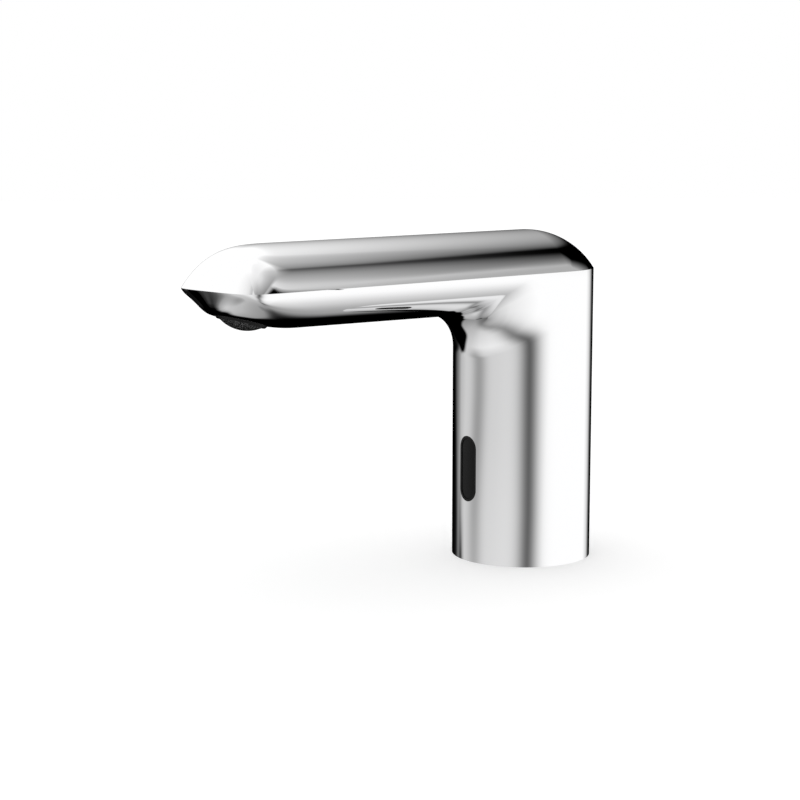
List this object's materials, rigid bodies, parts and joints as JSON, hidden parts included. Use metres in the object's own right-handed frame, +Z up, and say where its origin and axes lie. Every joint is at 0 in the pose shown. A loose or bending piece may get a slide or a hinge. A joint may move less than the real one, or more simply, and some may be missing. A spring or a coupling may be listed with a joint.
{
  "type": "sensor tap",
  "caption": "Deck-mounted touch-free washbasin tap in polished metal: a round column and a long flat-bellied spout with a sensor window on the column and an aerator under the nose.",
  "frame": {"origin": "centre of the column's base face, on the deck, on the column's axis", "axes": "+Z up along the column's axis, -Y forward along the spout, +X to the tap's left as seen from behind it"},
  "size_m": [0.052, 0.1592, 0.1219],
  "materials": {
    "polished_chrome": "mirror-polished chrome plate",
    "black_plastic": "matt black plastic",
    "window_glass": "dark infrared-clear plastic, polished",
    "black_rubber": "black rubber",
    "clear_resin": "clear cast resin",
    "dark_resin": "dark cast resin",
    "board_green": "circuit board with green mask",
    "steel": "plain stainless steel",
    "steel_mesh": "fine stainless mesh",
    "spring_steel": "drawn spring wire",
    "cell_steel": "plain lacquered steel can",
    "white_plastic": "off-white moulded plastic",
    "grey_plastic": "grey moulded plastic",
    "brass": "machined brass",
    "copper": "enamelled copper wire",
    "water_tube": "drawn stainless tube",
    "grid_plastic": "dark grey moulded grid"
  },
  "bodies": {
    "tap": {"body_casting": "polished_chrome", "sensor_housing": "black_plastic", "sensor_window": "window_glass", "sensor_gasket": "black_rubber", "ir_emitter": "clear_resin", "ir_receiver": "dark_resin", "sensor_board": "board_green", "board_screws": "steel", "control_chip": "black_plastic", "board_connector": "white_plastic", "inner_bracket": "steel", "bracket_screws": "steel", "battery_holder": "grey_plastic", "battery_left": "cell_steel", "battery_right": "cell_steel", "battery_contacts": "steel", "deck_gasket": "black_rubber", "base_insert": "brass", "base_screws": "steel", "valve_body": "white_plastic", "inlet_strainer": "steel_mesh", "check_housing": "grey_plastic", "check_spring": "spring_steel", "diaphragm": "black_rubber", "armature_tube": "steel", "plunger_spring": "spring_steel", "bonnet_nut": "brass", "coil_bobbin": "black_plastic", "coil_winding": "copper", "coil_clip": "spring_steel", "water_tube": "water_tube", "tube_seals": "black_rubber", "aerator_washer": "black_rubber"},
    "aerator": {"aerator_housing": "black_plastic", "aerator_grid": "grid_plastic", "flow_regulator": "grey_plastic"},
    "plunger": {"plunger": "steel"},
    "diaphragm_poppet": {"diaphragm_poppet": "grey_plastic"},
    "check_poppet": {"check_poppet": "grey_plastic"}
  },
  "joints": [
    {"name": "aerator_turn", "type": "hinge", "parent": "tap", "child": "aerator", "pos_m": [0, -0.121, 0.0936], "axis": [0, 0.2639, 0.9646], "range_deg": [0, 90]},
    {"name": "plunger_lift", "type": "slide", "parent": "tap", "child": "plunger", "axis": [0, 0, 1], "range_m": [0, 0.0012], "stiffness_N_per_m": 150, "springref_m": -0.004, "deforming": ["plunger_spring"]},
    {"name": "diaphragm_lift", "type": "slide", "parent": "tap", "child": "diaphragm_poppet", "axis": [0, 0, 1], "range_m": [0, 0.0008]},
    {"name": "check_valve_lift", "type": "slide", "parent": "tap", "child": "check_poppet", "axis": [0, 0, 1], "range_m": [0, 0.0018], "stiffness_N_per_m": 60, "springref_m": -0.003, "deforming": ["check_spring"]}
  ],
  "couplings": [
    {"joint": "diaphragm_lift", "follows": "plunger_lift", "ratio": 0.6667}
  ]
}
